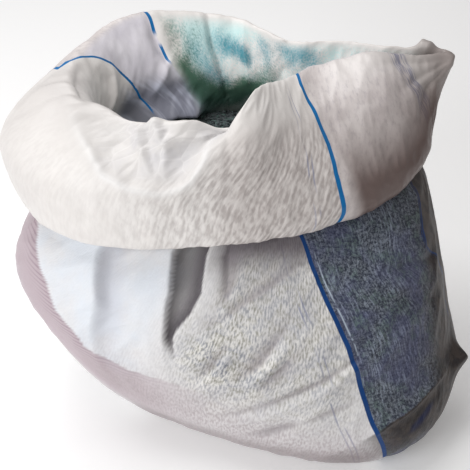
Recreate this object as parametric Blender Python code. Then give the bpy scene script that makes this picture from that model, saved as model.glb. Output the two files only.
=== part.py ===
"""A part-filled cement sack of woven tape cloth, standing open with its mouth rolled outward.

Metres, +Z up. The origin is on the floor, under the middle of the sack's bounding box.
Named level loops say where the sack's surface runs: out from the middle of the base, up the wall
to the neck, out under the roll, round the roll and over its crest, and down inside to the base
again. The rolled layers of cloth are one solid ring. The cement fills the sack up to the roll.
"""

import math
from dataclasses import dataclass

import bmesh
import bpy
import numpy as np

GIRTH = 1.10
WALL = 0.003
CLEARANCE = 0.001
COLUMNS = 72
ROWS_PER_SPAN = 2
SEAT_RINGS = 3

# The columns of the cloth crowd towards the right side fold, where the mouth and the base are pinched.
FOLD_CROWDING = 0.45
CORNER_REACH = 0.35

# The mouth narrows from the middle of the sack and is fully pinched at this share of its half length.
PINCH_END = 0.48
# Its back is tucked in from this share of the half length to the left end.
TUCK_START = 0.35
# Its back rim waves up, then down: radians from the right side fold, reach in radians, weight.
BACK_WAVES = ((2.25, 0.42, 1.0), (1.33, 0.28, -0.55))
WAVE_OUT = 0.8
WAVE_UP = 0.6
# The roll is swollen on these stretches of the front. Of each: the share of its middle, its reach towards
# the right side fold and away from it, and metres in and up.
SWELLS = (
    (0.262, 0.068, 0.026, 0.024, 0.016),
    (0.085, 0.045, 0.045, 0.002, 0.013),
    (0.330, 0.018, 0.030, 0.000, 0.006),
)

EAR_LENGTH = 0.019
EAR_HEIGHT = 0.057
EAR_HALF_WIDTH = 0.021
EAR_HALF_HEIGHT = 0.015

# The deep fold under the roll: its two edges as (share, level) points, how wide each edge is, how deep
# the fold is at these levels, how many levels its lower end takes to start, and the columns down it.
DEEP_RIGHT = ((0.2745, 3.10), (0.2810, 3.50), (0.2800, 3.65), (0.2745, 3.95), (0.274, 4.23), (0.288, 4.72))
DEEP_LEFT = ((0.2745, 3.10), (0.2865, 3.46), (0.2895, 3.68), (0.299, 4.22), (0.318, 4.71), (0.325, 5.40))
DEEP_EDGE = 0.012
DEEP_LEVELS = ((3.1, 3.5, 4.2, 5.4), (0.002, 0.008, 0.013, 0.015))
DEEP_START = 0.4
DEEP_COLUMNS = (0.264, 0.318, 9)
DEEP_COLUMNS_MARGIN = 0.004

MOUND_HEIGHT = 0.013
MOUND_RINGS = 5

SACK_WHITE = (0.78, 0.76, 0.74, 1.0)
CEMENT_GREY = (0.055, 0.065, 0.07, 1.0)


@dataclass
class Loop:
    """One level loop of the cloth: a rounded oblong, turned in plan, that may be pinched at the right.

    tuck, wave and swell are the loop's shares of the back's tuck and waves and of the front's swells.
    """

    height: float
    centre: tuple
    half: tuple
    turn: float
    square: float = 2.0
    pinch: tuple = (0.0, 0.0)
    corner: float = 0.0
    rise: float = 0.0
    lift: float = 0.0
    tuck: float = 0.0
    wave: float = 0.0
    swell: tuple = (0.0, 0.0)


SEAT = Loop(0.0, (0.030, -0.007), (0.141, 0.083), -24, 2.6)
FOOT = Loop(0.009, (0.027, -0.010), (0.174, 0.106), -23, 2.6)
ANKLE = Loop(0.047, (0.020, -0.006), (0.198, 0.125), -20, 2.5)
BELLY = Loop(0.108, (-0.003, 0.008), (0.210, 0.129), -12, 2.4, rise=-0.06)
CHEST = Loop(0.162, (-0.006, 0.024), (0.198, 0.122), -4, 2.3)
NECK = Loop(0.208, (0.0065, 0.048), (0.1725, 0.097), 4, 2.3)
ROOT = Loop(0.223, (0.001, 0.051), (0.161, 0.090), 6, 2.2)
LIP = Loop(0.217, (-0.006, 0.053), (0.182, 0.113), 9, 2.1, rise=0.08)
HEM = Loop(0.222, (-0.010, 0.054), (0.193, 0.121), 11, 2.1, rise=0.09)
CUFF = Loop(
    0.259, (-0.014, 0.063), (0.205, 0.127), 8, 2.0,
    pinch=(0.05, 0.30), corner=-0.003, tuck=0.25, wave=0.004, swell=(0.0, 0.15),
)
SHOULDER = Loop(
    0.294, (-0.003, 0.075), (0.177, 0.117), 5, 2.0,
    pinch=(0.50, 0.47), corner=0.026, lift=0.004, tuck=0.14, wave=0.012, swell=(0.35, 0.75),
)
CREST = Loop(
    0.305, (0.001, 0.080), (0.149, 0.101), 5, 2.0,
    pinch=(0.90, 0.50), corner=0.043, lift=0.004, tuck=0.02, wave=0.014, swell=(1.0, 1.0),
)
THROAT = Loop(
    0.261, (0.008, 0.064), (0.136, 0.077), 4, 2.1,
    pinch=(0.83, 0.35), corner=0.020, tuck=0.10, wave=0.006, swell=(0.9, 0.3),
)


WALL_LOOPS = (SEAT, FOOT, ANKLE, BELLY, CHEST, NECK, ROOT)
ROLL_LOOPS = (LIP, HEM, CUFF, SHOULDER, CREST, THROAT)
THROAT_LEVEL = 2


def smooth_step(value):
    """Runs from 0 to 1 with level ends."""
    value = np.clip(value, 0.0, 1.0)
    return value * value * (3 - 2 * value)


def column_shares():
    """Shares of the way round, from the right side fold towards the front, crowded there and at the deep fold."""
    even = np.arange(COLUMNS) / COLUMNS
    shares = even - FOLD_CROWDING * np.sin(2 * math.pi * even) / (2 * math.pi)
    first, last, count = DEEP_COLUMNS
    outside = (shares < first - DEEP_COLUMNS_MARGIN) | (shares > last + DEEP_COLUMNS_MARGIN)
    return np.sort(np.concatenate([shares[outside], np.linspace(first, last, count)]))


def swelling(loop, points, shares):
    """How far the swells move a loop's points in towards its centre, and up."""
    moved = np.zeros((2, len(shares)))
    for middle, near_reach, far_reach, inward, upward in SWELLS:
        gap = shares - middle
        bump = np.exp(-((gap / np.where(gap < 0, near_reach, far_reach)) ** 2))
        moved += np.array([[loop.swell[0] * inward], [loop.swell[1] * upward]]) * bump
    towards = (np.array((*loop.centre, 0.0)) - points) * (1.0, 1.0, 0.0)
    towards /= np.linalg.norm(towards, axis=1, keepdims=True)
    return towards * moved[0][:, None] + np.array((0.0, 0.0, 1.0)) * moved[1][:, None]


def loop_points(loop, shares, samples=720):
    """Points at these shares of the loop's own length, so that a column keeps its place in the weave."""
    angle = -2 * math.pi * np.arange(samples + 1) / samples
    length, depth = loop.half
    power = 2 / loop.square
    along = np.sign(np.cos(angle)) * np.abs(np.cos(angle)) ** power
    across = np.sign(np.sin(angle)) * np.abs(np.sin(angle)) ** power
    front, back = loop.pinch
    pinched = smooth_step(along / PINCH_END)
    tucked = smooth_step((-along - TUCK_START) / (1 - TUCK_START))
    across = across * (1 - np.where(across < 0, front, back) * pinched)
    across = across * (1 - np.where(across < 0, 0.0, loop.tuck) * tucked)
    from_fold = np.angle(np.exp(1j * angle))
    near_fold = np.exp(-((from_fold / CORNER_REACH) ** 2))
    waves = [weight * np.exp(-(((from_fold - at) / reach) ** 2)) for at, reach, weight in BACK_WAVES]
    wave = loop.wave * sum(waves)
    x = length * along + loop.corner * near_fold
    y = depth * across + WAVE_OUT * wave
    turn = math.radians(loop.turn)
    points = np.stack(
        [
            loop.centre[0] + x * math.cos(turn) - y * math.sin(turn),
            loop.centre[1] + x * math.sin(turn) + y * math.cos(turn),
            loop.height + loop.rise * x + loop.lift * near_fold + WAVE_UP * wave,
        ],
        axis=1,
    )
    run = np.concatenate([[0.0], np.cumsum(np.linalg.norm(np.diff(points, axis=0), axis=1))])
    points = np.stack([np.interp(shares * run[-1], run, points[:, axis]) for axis in range(3)], axis=1)
    return points + swelling(loop, points, shares)


def spline_rows(loops, steps):
    """A Catmull-Rom spline through the loops, column by column, with this many steps from loop to loop."""
    padded = np.concatenate([loops[:1], loops, loops[-1:]])
    rows = []
    for before, start, end, after in zip(padded, padded[1:], padded[2:], padded[3:]):
        for step in range(steps):
            t = step / steps
            rows.append(
                0.5
                * (
                    2 * start
                    + (end - before) * t
                    + (2 * before - 5 * start + 4 * end - after) * t**2
                    + (3 * start - before - 3 * end + after) * t**3
                )
            )
    rows.append(loops[-1])
    return np.array(rows)


@dataclass
class Fold:
    """A ridge, or a groove where the height is below 0, along a path of (share, level, strength) points.

    Its height falls off as exp(-(distance / reach) ** edge). reach is what it is on the right-hand side
    and on the left-hand side of the path, seen from outside.
    """

    path: tuple
    height: float
    reach: tuple
    edge: float


# The edge of the sack's turned-in bottom, from the neck on the left to the tip of the deep fold.
TURNED_EDGE = Fold(
    (
        (0.470, 4.8, 0.4), (0.464, 4.41, 1), (0.429, 4.10, 1), (0.405, 3.85, 1), (0.383, 3.42, 1),
        (0.358, 3.10, 1), (0.350, 2.80, 1), (0.336, 2.72, 0.9), (0.313, 2.68, 0.7), (0.280, 2.70, 0.4),
        (0.240, 2.55, 0.0),
    ),
    0.006, (0.030, 0.014), 1.3,
)
# The smooth dip in the front of the roll.
DIP = Fold(
    ((0.400, 3.5, 0.7), (0.370, 3.9, 1), (0.340, 4.1, 1), (0.312, 4.0, 1), (0.300, 3.7, 0.8)),
    -0.008, (0.026, 0.026), 3.0,
)


def normals_of(rows):
    """Unit normals out of the sack: the cross product of the steps along the cloth and round it."""
    around = np.roll(rows, -1, axis=1) - np.roll(rows, 1, axis=1)
    normal = np.cross(np.gradient(rows, axis=0), around)
    return normal / np.linalg.norm(normal, axis=2, keepdims=True)


def fold_heights(fold, rows, shares, levels):
    """How far a fold moves each point of the rows along its normal."""
    steps = np.linalg.norm(np.diff(rows, axis=0), axis=2).mean(axis=1)
    along = np.concatenate([[0.0], np.cumsum(steps)])
    order = np.argsort(levels)
    best = np.full(rows.shape[:2], np.inf)
    strength = np.zeros(rows.shape[:2])
    left_hand = np.zeros(rows.shape[:2], bool)
    for (s0, l0, k0), (s1, l1, k1) in zip(fold.path, fold.path[1:]):
        start, end = (np.interp(level, levels[order], along[order]) for level in (l0, l1))
        step = np.array([(s1 - s0) * GIRTH, end - start])
        gap = np.broadcast_to(((shares - s0 + 0.5) % 1 - 0.5) * GIRTH, best.shape)
        climb = np.broadcast_to((along - start)[:, None], best.shape)
        at = np.clip((gap * step[0] + climb * step[1]) / (step @ step), 0, 1)
        far = np.hypot(gap - at * step[0], climb - at * step[1])
        near = far < best
        best = np.where(near, far, best)
        strength = np.where(near, k0 + (k1 - k0) * at, strength)
        left_hand = np.where(near, step[0] * climb - step[1] * gap < 0, left_hand)
    reach = np.where(left_hand, fold.reach[1], fold.reach[0])
    return fold.height * strength * np.exp(-((best / reach) ** fold.edge))


def deep_fold(shares, levels):
    """How far the cloth is pressed in between the two edges of the deep fold."""
    low, high = (np.interp(levels, *np.transpose(path)[::-1])[:, None] for path in (DEEP_RIGHT, DEEP_LEFT))
    between = smooth_step((shares - low) / DEEP_EDGE + 0.5) * smooth_step((high - shares) / DEEP_EDGE + 0.5)
    started = smooth_step((levels - DEEP_LEVELS[0][0]) / DEEP_START + 0.5)
    return (np.interp(levels, *DEEP_LEVELS) * started)[:, None] * between


def shaped_wall(wall, shares):
    """The wall with its turned-in bottom, the deep fold under the roll, and the ear at the right fold."""
    levels = np.arange(len(wall)) / ROWS_PER_SPAN
    gap = np.minimum(shares, 1 - shares) * GIRTH
    ear = np.exp(-((gap / EAR_HALF_WIDTH) ** 2))
    ear = EAR_LENGTH * ear * np.exp(-(((wall[:, :, 2] - EAR_HEIGHT) / EAR_HALF_HEIGHT) ** 2))
    folds = fold_heights(TURNED_EDGE, wall, shares, levels) - deep_fold(shares, levels)
    moved = wall + normals_of(wall) * (ear + folds)[:, :, None]
    moved[:, :, 2] = np.maximum(moved[:, :, 2], 0.0)
    return moved


def shaped_roll(roll, shares):
    """The roll with the dip in its front. Its levels count down from the root to the throat, at level 2."""
    levels = THROAT_LEVEL + len(ROLL_LOOPS) - np.arange(len(roll)) / ROWS_PER_SPAN
    return roll + normals_of(roll) * fold_heights(DIP, roll, shares, levels)[:, :, None]


def sack_rows():
    """Rows of the outer surface: the wall from the middle of the base up, then the roll to the throat."""
    shares = column_shares()
    loops = np.array([loop_points(loop, shares) for loop in WALL_LOOPS + ROLL_LOOPS])
    rows = spline_rows(loops, ROWS_PER_SPAN)
    root = ROWS_PER_SPAN * (len(WALL_LOOPS) - 1)
    wall = shaped_wall(rows[: root + 1], shares)
    middle = wall[0].mean(axis=0)
    base = [middle + (wall[0] - middle) * ring / SEAT_RINGS for ring in range(1, SEAT_RINGS)]
    wall = np.concatenate([base, wall])
    roll = shaped_roll(rows[root:], shares)[1:]
    centre = footprint_centre(np.concatenate([wall, roll]))
    return wall - centre, roll - centre


def footprint_centre(rows):
    """The middle of the bounding box in plan."""
    flat = rows.reshape(-1, 3)
    middle = (flat.min(axis=0) + flat.max(axis=0)) / 2
    return middle * (1.0, 1.0, 0.0)


def add_ring(mesh, points):
    """New vertices for one ring."""
    return [mesh.verts.new(point) for point in points]


def bridge(mesh, first, second, falling=False):
    """Triangles between two rings, facing out where the second one lies above the first one.

    Every pair is cut along the same diagonal of the cloth, from low left to high right, so that
    two surfaces made from the same rings stay side by side.
    """
    for left in range(len(first)):
        right = (left + 1) % len(first)
        a, b, c, d = first[left], first[right], second[right], second[left]
        triangles = ((b, a, d), (b, d, c)) if falling else ((b, a, c), (a, d, c))
        for corners in triangles:
            mesh.faces.new(corners)


def cap(mesh, ring, middle, upward):
    """Triangles from a ring to its middle point."""
    centre = mesh.verts.new(middle)
    for left in range(len(ring)):
        right = (left + 1) % len(ring)
        corners = (ring[right], ring[left], centre) if upward else (ring[left], ring[right], centre)
        mesh.faces.new(corners)


def tube_mesh(rising, falling=()):
    """One closed surface through the rising rings and then the falling ones, with a cap at each end."""
    mesh = bmesh.new()
    rings = [*rising, *falling]
    made = [add_ring(mesh, points) for points in rings]
    cap(mesh, made[0], rings[0].mean(axis=0), upward=False)
    for index, (first, second) in enumerate(zip(made, made[1:])):
        bridge(mesh, first, second, falling=index >= len(rising))
    cap(mesh, made[-1], rings[-1].mean(axis=0), upward=True)
    return mesh


def inset(wall, distance):
    """The wall's rings moved inward, square to its surface."""
    mesh = bmesh.new()
    made = [add_ring(mesh, points) for points in wall]
    cap(mesh, made[0], wall[0].mean(axis=0), upward=False)
    for lower, upper in zip(made, made[1:]):
        bridge(mesh, lower, upper)
    mesh.normal_update()
    moved = np.array([[vert.co - vert.normal * distance for vert in ring] for ring in made])
    mesh.free()
    return moved


def principled(name, colour, roughness):
    """A plain material for one sub-part."""
    material = bpy.data.materials.new(name)
    material.use_nodes = True
    shader = material.node_tree.nodes["Principled BSDF"]
    shader.inputs["Base Color"].default_value = colour
    shader.inputs["Roughness"].default_value = roughness
    shader.inputs["Metallic"].default_value = 0.0
    return material


def add_object(name, mesh, material):
    """An object of this name from a bmesh, shaded smooth."""
    data = bpy.data.meshes.new(name)
    mesh.to_mesh(data)
    mesh.free()
    data.materials.append(material)
    data.shade_smooth()
    data.set_sharp_from_angle(angle=math.radians(50))
    made = bpy.data.objects.new(name, data)
    bpy.context.scene.collection.objects.link(made)
    return made


def make_sack(wall, roll):
    """The outer wall, the roll and the inner wall as one closed surface, open at the mouth."""
    inner = inset(wall, WALL)[::-1]
    mesh = tube_mesh([*wall, *roll], inner)
    return add_object("sack", mesh, principled("woven_cloth", SACK_WHITE, 0.55))


def make_cement(wall):
    """The fill: the inside of the wall up to the root of the roll, under a low mound."""
    rings = list(inset(wall, WALL + CLEARANCE))
    brim = rings[-1]
    middle = brim.mean(axis=0)
    for ring in range(1, MOUND_RINGS):
        share = ring / MOUND_RINGS
        level = middle + (brim - middle) * (1 - share)
        level[:, 2] += MOUND_HEIGHT * smooth_step(share)
        rings.append(level)
    return add_object("cement_fill", tube_mesh(rings), principled("cement", CEMENT_GREY, 0.95))


def main():
    for old in list(bpy.data.objects):
        bpy.data.objects.remove(old, do_unlink=True)
    wall, roll = sack_rows()
    make_sack(wall, roll)
    make_cement(wall)


main()
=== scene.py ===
"""Looks of a part-filled cement sack of woven tape cloth, its mouth rolled outward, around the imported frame.

Metres, +Z up. The cloth is worked out on named level loops, as the part's own surface is: a share
says how far round the sack a point lies, from the right side fold towards the front, and a level
says how far along the loops. Folds, stripes and stains are placed in the same two numbers.
"""

import math
from dataclasses import dataclass

import bpy
import numpy as np
from bpy.props import FloatProperty, FloatVectorProperty, IntProperty, PointerProperty
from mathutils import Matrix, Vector


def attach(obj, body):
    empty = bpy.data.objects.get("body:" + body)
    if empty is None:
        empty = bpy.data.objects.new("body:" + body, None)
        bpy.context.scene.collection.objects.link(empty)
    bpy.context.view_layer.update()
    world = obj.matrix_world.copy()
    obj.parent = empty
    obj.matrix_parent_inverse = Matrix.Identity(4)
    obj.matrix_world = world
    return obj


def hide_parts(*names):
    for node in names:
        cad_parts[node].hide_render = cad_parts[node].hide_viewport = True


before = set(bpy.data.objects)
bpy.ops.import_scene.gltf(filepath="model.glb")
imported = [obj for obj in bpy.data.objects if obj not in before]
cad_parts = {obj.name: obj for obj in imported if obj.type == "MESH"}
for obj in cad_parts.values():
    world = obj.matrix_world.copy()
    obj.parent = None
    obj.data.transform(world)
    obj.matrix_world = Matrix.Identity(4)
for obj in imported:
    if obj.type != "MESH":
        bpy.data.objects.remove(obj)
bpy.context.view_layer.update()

bl_info = {
    "name": "Cement sack",
    "version": (1, 0, 0),
    "blender": (4, 5, 0),
    "location": "View3D > Sidebar > Sack",
    "description": "A part-filled cement sack of woven tape cloth with its mouth rolled outward",
    "category": "Add Mesh",
}

# Metres round the flat tube, and the middle of the part's footprint in the loops' own plan.
GIRTH = 1.1
FOOTPRINT_CENTRE = (0.00087, 0.02006, 0.0)


@dataclass
class Loop:
    """One level loop of the cloth: a rounded oblong, turned in plan, that may be pinched at its right end."""

    height: float
    centre: tuple
    half: tuple
    turn: float
    square: float = 2.0
    pinch: tuple = (0.0, 0.0)
    corner: float = 0.0
    rise: float = 0.0
    lift: float = 0.0
    tuck: float = 0.0
    wave: float = 0.0
    swell: tuple = (0.0, 0.0)


FOLD_CROWDING = 0.25
FRONT_CROWDING = 0.35
CORNER_REACH = 0.35
PINCH_END = 0.48
TUCK_START = 0.35
# The back of the mouth waves: (radians round from the right side fold, reach, height) of its hump and dip.
BACK_WAVES = ((2.25, 0.42, 1.0), (1.33, 0.28, -0.55))
WAVE_OUT = 0.8
WAVE_UP = 0.6
# The roll is swollen on these stretches of the front. Of each: the share of its middle, its reach towards
# the right side fold and away from it, and metres in and up.
SWELLS = (
    (0.262, 0.068, 0.026, 0.024, 0.016),
    (0.085, 0.045, 0.045, 0.002, 0.013),
    (0.33, 0.018, 0.03, 0.0, 0.006),
)

SEAT = Loop(0.0, (0.03, -0.007), (0.141, 0.083), -24, 2.6)
FOOT = Loop(0.009, (0.027, -0.01), (0.174, 0.106), -23, 2.6)
ANKLE = Loop(0.047, (0.02, -0.006), (0.198, 0.125), -20, 2.5)
BELLY = Loop(0.108, (-0.003, 0.008), (0.21, 0.129), -12, 2.4, rise=-0.06)
CHEST = Loop(0.162, (-0.006, 0.024), (0.198, 0.122), -4, 2.3)
NECK = Loop(0.208, (0.0065, 0.048), (0.1725, 0.097), 4, 2.3)
ROOT = Loop(0.223, (0.001, 0.051), (0.161, 0.09), 6, 2.2)
LIP = Loop(0.217, (-0.006, 0.053), (0.182, 0.113), 9, 2.1, rise=0.08)
HEM = Loop(0.222, (-0.01, 0.054), (0.193, 0.121), 11, 2.1, rise=0.09)
CUFF = Loop(
    0.259, (-0.014, 0.063), (0.205, 0.127), 8, 2.0,
    pinch=(0.05, 0.3), corner=-0.003, tuck=0.25, wave=0.004, swell=(0.0, 0.15),
)
SHOULDER = Loop(
    0.294, (-0.003, 0.075), (0.177, 0.117), 5, 2.0,
    pinch=(0.5, 0.47), corner=0.026, lift=0.004, tuck=0.14, wave=0.012, swell=(0.35, 0.75),
)
CREST = Loop(
    0.305, (0.001, 0.08), (0.149, 0.101), 5, 2.0,
    pinch=(0.9, 0.5), corner=0.043, lift=0.004, tuck=0.02, wave=0.014, swell=(1.0, 1.0),
)
THROAT = Loop(
    0.261, (0.008, 0.064), (0.136, 0.077), 4, 2.1,
    pinch=(0.83, 0.35), corner=0.02, tuck=0.1, wave=0.006, swell=(0.9, 0.3),
)
# The cloth goes on inside the mouth below the fill, and the hem goes on up inside the roll.
INNER_ROOT = Loop(0.222, (0.001, 0.051), (0.157, 0.086), 6, 2.2)
SUNKEN = Loop(0.2, (0.004, 0.048), (0.164, 0.092), 4, 2.2)
TURNED_IN = Loop(0.226, (-0.002, 0.052), (0.168, 0.096), 8, 2.1, rise=0.05)
RETURN = Loop(0.255, (-0.008, 0.06), (0.18, 0.105), 8, 2.0, rise=0.03)

WALL_LOOPS = (SEAT, FOOT, ANKLE, BELLY, CHEST, NECK, ROOT, LIP)
WALL_TOP = 6.0
ROLL_LOOPS = (SUNKEN, INNER_ROOT, THROAT, CREST, SHOULDER, CUFF, HEM, LIP, TURNED_IN, RETURN)
ROLL_TOP = 9.0


def smooth_step(value):
    """Runs from 0 to 1 with level ends: three times the square less twice the cube."""
    value = np.clip(value, 0.0, 1.0)
    return value * value * (3 - 2 * value)


def swelling(loop, points, shares):
    """How far the swells move a loop's points: in towards its centre and up, less away from each middle."""
    moved = np.zeros((2, len(shares)))
    for middle, near_reach, far_reach, inward, upward in SWELLS:
        gap = shares - middle
        bump = np.exp(-((gap / np.where(gap < 0, near_reach, far_reach)) ** 2))
        moved += np.array([[loop.swell[0] * inward], [loop.swell[1] * upward]]) * bump
    towards = (np.array((*loop.centre, 0.0)) - points) * (1.0, 1.0, 0.0)
    towards /= np.linalg.norm(towards, axis=1, keepdims=True)
    return towards * moved[0][:, None] + np.array((0.0, 0.0, 1.0)) * moved[1][:, None]


def loop_points(loop, shares, samples=1440):
    """A superellipse, pinched, turned and lifted, cut at these shares of its own length."""
    angle = -2 * math.pi * np.arange(samples + 1) / samples
    length, depth = loop.half
    power = 2 / loop.square
    along = np.sign(np.cos(angle)) * np.abs(np.cos(angle)) ** power
    across = np.sign(np.sin(angle)) * np.abs(np.sin(angle)) ** power
    front, back = loop.pinch
    pinched = smooth_step(along / PINCH_END)
    tucked = smooth_step((-along - TUCK_START) / (1 - TUCK_START))
    across = across * (1 - np.where(across < 0, front, back) * pinched)
    across = across * (1 - np.where(across < 0, 0.0, loop.tuck) * tucked)
    from_fold = np.angle(np.exp(1j * angle))
    near_fold = np.exp(-((from_fold / CORNER_REACH) ** 2))
    waves = [weight * np.exp(-(((from_fold - at) / reach) ** 2)) for at, reach, weight in BACK_WAVES]
    wave = loop.wave * sum(waves)
    x = length * along + loop.corner * near_fold
    y = depth * across + WAVE_OUT * wave
    turn = math.radians(loop.turn)
    points = np.stack(
        [
            loop.centre[0] + x * math.cos(turn) - y * math.sin(turn),
            loop.centre[1] + x * math.sin(turn) + y * math.cos(turn),
            loop.height + loop.rise * x + loop.lift * near_fold + WAVE_UP * wave,
        ],
        axis=1,
    )
    run = np.concatenate([[0.0], np.cumsum(np.linalg.norm(np.diff(points, axis=0), axis=1))])
    points = np.stack([np.interp(shares * run[-1], run, points[:, axis]) for axis in range(3)], axis=1)
    return points + swelling(loop, points, shares)


def along_loops(loops, levels):
    """Rows at these levels of a Catmull-Rom spline that runs through the loops column by column."""
    padded = np.concatenate([loops[:1], loops, loops[-1:]])
    span = np.minimum(levels.astype(int), len(loops) - 2)
    t = (levels - span)[:, None, None]
    before, start, end, after = (padded[span + step] for step in range(4))
    return 0.5 * (
        2 * start
        + (end - before) * t
        + (2 * before - 5 * start + 4 * end - after) * t**2
        + (3 * start - before - 3 * end + after) * t**3
    )


def path_length(rows):
    """Metres along the cloth at each row, from the first, as the mean of all columns."""
    steps = np.linalg.norm(np.diff(rows, axis=0), axis=2).mean(axis=1)
    return np.concatenate([[0.0], np.cumsum(steps)])


def column_shares(count):
    """Shares of the way round: even ones, less sines that crowd them at the right fold and in front."""
    turn = 2 * math.pi * np.arange(count) / count
    return (turn - FOLD_CROWDING * np.sin(turn) - FRONT_CROWDING * (1 - np.cos(turn))) / (2 * math.pi)


def normals_of(rows, outward):
    """Unit normals: the cross product of the steps round the cloth and along it, towards this side."""
    around = np.roll(rows, -1, axis=1) - np.roll(rows, 1, axis=1)
    along = np.gradient(rows, axis=0)
    normal = np.cross(around, along) * outward
    return normal / np.maximum(np.linalg.norm(normal, axis=2, keepdims=True), 1e-9)


class Cloth:
    """One piece of the cloth as a grid: its points, and each point's share, level and metres along."""

    def __init__(self, loops, top, columns, rows, outward):
        self.outward = outward
        self.shares = column_shares(columns)
        made = np.array([loop_points(loop, self.shares) for loop in loops])
        fine = np.linspace(0, top, 8 * rows)
        length = path_length(along_loops(made, fine))
        self.levels = np.interp(np.linspace(0, length[-1], rows), length, fine)
        self.along = np.linspace(0, length[-1], rows)
        self.points = along_loops(made, self.levels) - FOOTPRINT_CENTRE

    def metres(self, level):
        """Metres along the cloth at this level."""
        return np.interp(level, self.levels, self.along)

    def moved(self, distance):
        """Moves every point along its normal."""
        self.points = self.points + normals_of(self.points, self.outward) * distance[:, :, None]

    def between_levels(self, low, high, soft):
        """1 between two levels, with soft ends."""
        level = self.levels[:, None]
        return smooth_step((level - low) / soft + 0.5) * smooth_step((high - level) / soft + 0.5)

    def between_shares(self, low, high, soft):
        """1 between two shares, with soft ends; high may be past the fold."""
        middle, half = (low + high) / 2, (high - low) / 2
        far = np.abs((self.shares[None, :] - middle + 0.5) % 1 - 0.5)
        return smooth_step((half - far) / soft + 0.5)

    def between_paths(self, right, left, soft):
        """1 between two paths of (share, level) points, with edges this many shares wide."""
        level = self.levels
        low, high = (np.interp(level, *np.transpose(path)[::-1])[:, None] for path in (right, left))
        share = self.shares[None, :]
        return smooth_step((share - low) / soft + 0.5) * smooth_step((high - share) / soft + 0.5)

    def beside(self, path, reach, edge=2.0):
        """The strength at the nearest place of a path of (share, level, strength) points, less away from it.

        A strength that isn't given is 1. It falls off as exp(-(distance / reach) ** edge): an edge of 1 is a
        sharp crease and 2 a soft roll. Two reaches are those on the right-hand side and on the left-hand
        side of the path, seen from outside.
        """
        share, along = np.meshgrid(self.shares, self.along)
        best = np.full(share.shape, np.inf)
        strength = np.zeros(share.shape)
        side = np.ones(share.shape)
        points = [(*point, 1.0)[:3] for point in path]
        for (s0, l0, k0), (s1, l1, k1) in zip(points, points[1:]):
            step = np.array([(s1 - s0) * GIRTH, self.metres(l1) - self.metres(l0)])
            dx = ((share - s0 + 0.5) % 1 - 0.5) * GIRTH
            dy = along - self.metres(l0)
            at = np.clip((dx * step[0] + dy * step[1]) / (step @ step), 0, 1)
            far = np.hypot(dx - at * step[0], dy - at * step[1])
            near = far < best
            best = np.where(near, far, best)
            strength = np.where(near, k0 + (k1 - k0) * at, strength)
            side = np.where(near, step[0] * dy - step[1] * dx, side)
        right_hand = side * self.outward < 0
        return strength * np.exp(-((best / np.where(right_hand, *np.broadcast_to(reach, 2))) ** edge))

    def folded(self, folds):
        """How far the folds move each point along the cloth's normal."""
        return sum(fold.height * self.beside(fold.path, fold.reach, fold.edge) for fold in folds)


@dataclass
class Fold:
    """A ridge, or a groove where the height is below 0. Its path, reach and edge are what Cloth.beside takes."""

    path: tuple
    height: float
    reach: tuple | float
    edge: float = 2.0


def random_field(cloth, wave, seed, slant):
    """Smooth random heights, with a spread of 1, of about this wavelength round and along the cloth.

    White noise on an even grid keeps only the waves near the wanted one, turned by the slant. The grid
    closes round the sack, and is read off between its nearest four points.
    """
    rows, columns, step = 360, 1024, 0.0016
    noise = np.random.default_rng(seed).standard_normal((rows, columns))
    up = np.fft.fftfreq(rows, step)[:, None]
    round_ = np.fft.rfftfreq(columns, GIRTH / columns)[None, :]
    turned = round_ * math.cos(slant) + up * math.sin(slant), up * math.cos(slant) - round_ * math.sin(slant)
    scale = np.hypot(turned[0] * wave[0], turned[1] * wave[1])
    field = np.fft.irfft2(np.fft.rfft2(noise) * np.exp(-(((scale - 1) / 0.45) ** 2)), s=noise.shape)
    x, y = np.meshgrid(cloth.shares * columns, cloth.along / step)
    column, row = np.floor(x).astype(int), np.floor(y).astype(int)
    tx, ty = x - column, y - row
    right, up_row = (column + 1) % columns, np.minimum(row + 1, rows - 1)
    column, row = column % columns, np.minimum(row, rows - 1)
    low = field[row, column] * (1 - tx) + field[row, right] * tx
    high = field[up_row, column] * (1 - tx) + field[up_row, right] * tx
    return (low * (1 - ty) + high * ty) / field.std()


def creases(field):
    """Sharp ridges where a random field crosses 0, and shallow bowls between them."""
    return 0.8 - np.abs(field)


# Where each stripe is woven, as a part of the flat cloth's girth, and where it really runs on the wall and
# the roll: (share, level) points. The cloth was pulled round as the mouth was rolled, so a stripe wanders
# from one share to the next.
TAPE_STRIPES = {"right": 0.036, "front": 0.155, "left": 0.536, "back": 0.655}
WALL_STRIPES = {
    "right": (
        (-0.015, 0.0), (-0.01, 1.9), (0.0, 3.0), (0.01, 3.6), (0.03, 4.02), (0.051, 4.26), (0.055, 4.5),
        (0.054, 4.8), (0.056, 5.25), (0.042, 5.7), (0.04, 6.0),
    ),
    "front": (
        (0.06, 0.0), (0.099, 1.86), (0.112, 2.38), (0.12, 2.81), (0.127, 3.16), (0.137, 3.5), (0.151, 3.85),
        (0.166, 4.2), (0.184, 4.56), (0.203, 5.01), (0.215, 6.0),
    ),
    "left": ((0.536, 0.0), (0.536, 6.0)),
    "back": ((0.655, 0.0), (0.655, 6.0)),
}
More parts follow.
